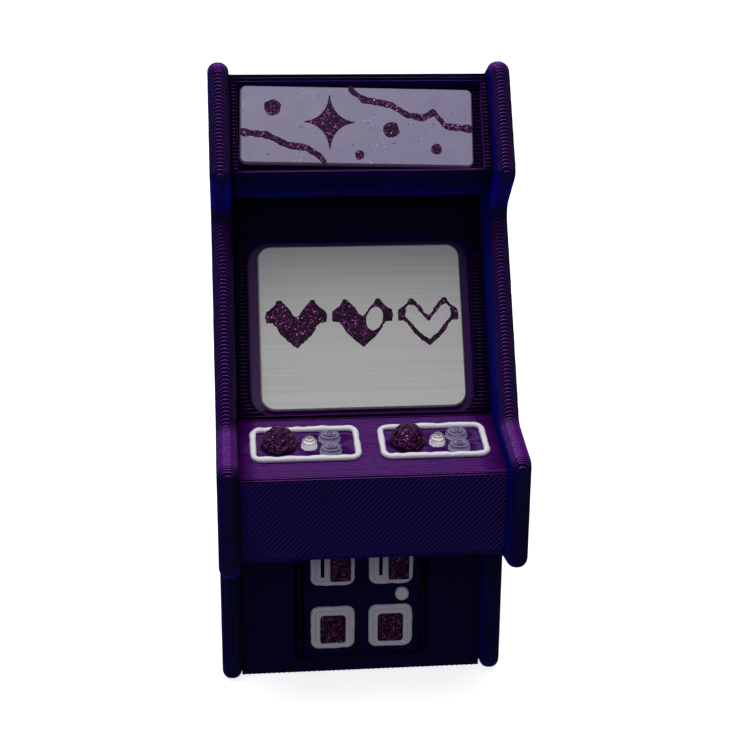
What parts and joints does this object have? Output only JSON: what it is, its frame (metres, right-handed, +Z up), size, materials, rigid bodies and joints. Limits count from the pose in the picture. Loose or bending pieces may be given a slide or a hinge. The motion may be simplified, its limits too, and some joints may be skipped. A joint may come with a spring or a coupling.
{
  "type": "miniature arcade cabinet",
  "caption": "Toy-size upright video arcade cabinet with tilting joysticks, push buttons, a hinged coin door with lock, reject buttons and return flaps, and an inset sign and screen plate.",
  "frame": {"origin": "on the floor, under the middle of the cabinet's box", "axes": "+X to the player's right, -Y towards the player, +Z up"},
  "size_m": [0.033, 0.033, 0.071],
  "materials": {
    "two_tone_body": "silky two-tone purple and blue print filament, fine layer lines",
    "glitter_purple": "dark purple print filament with fine glitter",
    "white_plate": "smooth warm white, printed flat",
    "white_bead": "warm white print beads",
    "lilac_plate": "smooth lilac, printed flat",
    "lilac_button": "lilac print filament",
    "rubber_pad": "silicone sheet",
    "steel_pin": "bright wire"
  },
  "bodies": {
    "cabinet": {"apron_panel": "two_tone_body", "back_panel": "two_tone_body", "base_panel": "two_tone_body", "brow_panel": "two_tone_body", "control_box_floor": "two_tone_body", "control_deck": "two_tone_body", "door_frame": "two_tone_body", "door_hinge_pin": "steel_pin", "heart_full": "glitter_purple", "heart_half": "glitter_purple", "heart_outline": "glitter_purple", "kick_panel": "two_tone_body", "left_button_pad": "rubber_pad", "left_control_frame": "white_bead", "left_control_tray": "two_tone_body", "left_side_panel": "two_tone_body", "marquee_dots": "glitter_purple", "marquee_housing": "two_tone_body", "marquee_plate": "lilac_plate", "marquee_star": "glitter_purple", "marquee_veins": "glitter_purple", "right_button_pad": "rubber_pad", "right_control_frame": "white_bead", "right_control_tray": "two_tone_body", "right_side_panel": "two_tone_body", "screen_backing": "two_tone_body", "screen_bezel": "two_tone_body", "screen_plate": "white_plate", "top_panel": "two_tone_body"},
    "left_stick_yoke_body": {"left_stick_yoke": "two_tone_body"},
    "left_stick_body": {"left_joystick_ball": "glitter_purple", "left_joystick_shaft": "two_tone_body"},
    "left_start_button_body": {"left_start_button": "white_bead"},
    "left_front_action_button_body": {"left_front_action_button": "lilac_button"},
    "left_rear_action_button_body": {"left_rear_action_button": "lilac_button"},
    "right_stick_yoke_body": {"right_stick_yoke": "two_tone_body"},
    "right_stick_body": {"right_joystick_ball": "glitter_purple", "right_joystick_shaft": "two_tone_body"},
    "right_start_button_body": {"right_start_button": "white_bead"},
    "right_front_action_button_body": {"right_front_action_button": "lilac_button"},
    "right_rear_action_button_body": {"right_rear_action_button": "lilac_button"},
    "door_body": {"coin_door": "two_tone_body", "left_coin_slot_bezel": "white_bead", "right_coin_slot_bezel": "white_bead", "left_return_bezel": "white_bead", "right_return_bezel": "white_bead"},
    "lock_body": {"lock_knob": "white_bead", "lock_cam": "two_tone_body"},
    "left_reject_button_body": {"left_reject_button": "glitter_purple"},
    "left_return_flap_body": {"left_return_flap": "glitter_purple"},
    "right_reject_button_body": {"right_reject_button": "glitter_purple"},
    "right_return_flap_body": {"right_return_flap": "glitter_purple"}
  },
  "joints": [
    {"name": "left_stick_pitch", "type": "hinge", "parent": "cabinet", "child": "left_stick_yoke_body", "pos_m": [-0.00975, -0.00822, 0.02905], "axis": [1, 0, 0], "range_deg": [-5, 5], "stiffness_Nm_per_rad": 0.001},
    {"name": "left_stick_roll", "type": "hinge", "parent": "left_stick_yoke_body", "child": "left_stick_body", "pos_m": [-0.00975, -0.00822, 0.02905], "axis": [0, 0.9694, 0.2453], "range_deg": [-5, 5], "stiffness_Nm_per_rad": 0.001},
    {"name": "left_start_button_press", "type": "slide", "parent": "cabinet", "child": "left_start_button_body", "axis": [0, 0.2453, -0.9694], "range_m": [0, 0.0004], "stiffness_N_per_m": 200, "deforming": ["left_button_pad"]},
    {"name": "left_front_action_button_press", "type": "slide", "parent": "cabinet", "child": "left_front_action_button_body", "axis": [0, 0.2453, -0.9694], "range_m": [0, 0.0004], "stiffness_N_per_m": 200, "deforming": ["left_button_pad"]},
    {"name": "left_rear_action_button_press", "type": "slide", "parent": "cabinet", "child": "left_rear_action_button_body", "axis": [0, 0.2453, -0.9694], "range_m": [0, 0.0004], "stiffness_N_per_m": 200, "deforming": ["left_button_pad"]},
    {"name": "right_stick_pitch", "type": "hinge", "parent": "cabinet", "child": "right_stick_yoke_body", "pos_m": [0.00415, -0.00822, 0.02905], "axis": [1, 0, 0], "range_deg": [-5, 5], "stiffness_Nm_per_rad": 0.001},
    {"name": "right_stick_roll", "type": "hinge", "parent": "right_stick_yoke_body", "child": "right_stick_body", "pos_m": [0.00415, -0.00822, 0.02905], "axis": [0, 0.9694, 0.2453], "range_deg": [-5, 5], "stiffness_Nm_per_rad": 0.001},
    {"name": "right_start_button_press", "type": "slide", "parent": "cabinet", "child": "right_start_button_body", "axis": [0, 0.2453, -0.9694], "range_m": [0, 0.0004], "stiffness_N_per_m": 200, "deforming": ["right_button_pad"]},
    {"name": "right_front_action_button_press", "type": "slide", "parent": "cabinet", "child": "right_front_action_button_body", "axis": [0, 0.2453, -0.9694], "range_m": [0, 0.0004], "stiffness_N_per_m": 200, "deforming": ["right_button_pad"]},
    {"name": "right_rear_action_button_press", "type": "slide", "parent": "cabinet", "child": "right_rear_action_button_body", "axis": [0, 0.2453, -0.9694], "range_m": [0, 0.0004], "stiffness_N_per_m": 200, "deforming": ["right_button_pad"]},
    {"name": "coin_door_hinge", "type": "hinge", "parent": "cabinet", "child": "door_body", "pos_m": [-0.0073, -0.0007, 0], "axis": [0, 0, -1], "range_deg": [0, 90]},
    {"name": "door_lock_turn", "type": "hinge", "parent": "door_body", "child": "lock_body", "pos_m": [0.00476, -0.0012, 0.01], "axis": [0, 1, 0], "range_deg": [0, 90]},
    {"name": "left_reject_button_press", "type": "slide", "parent": "door_body", "child": "left_reject_button_body", "axis": [0, 1, 0], "range_m": [0, 0.0004], "stiffness_N_per_m": 200},
    {"name": "left_return_flap_swing", "type": "hinge", "parent": "door_body", "child": "left_return_flap_body", "pos_m": [-0.0034, -0.00075, 0.0069], "axis": [1, 0, 0], "range_deg": [0, 35]},
    {"name": "right_reject_button_press", "type": "slide", "parent": "door_body", "child": "right_reject_button_body", "axis": [0, 1, 0], "range_m": [0, 0.0004], "stiffness_N_per_m": 200},
    {"name": "right_return_flap_swing", "type": "hinge", "parent": "door_body", "child": "right_return_flap_body", "pos_m": [0.00345, -0.00075, 0.0069], "axis": [1, 0, 0], "range_deg": [0, 35]}
  ]
}
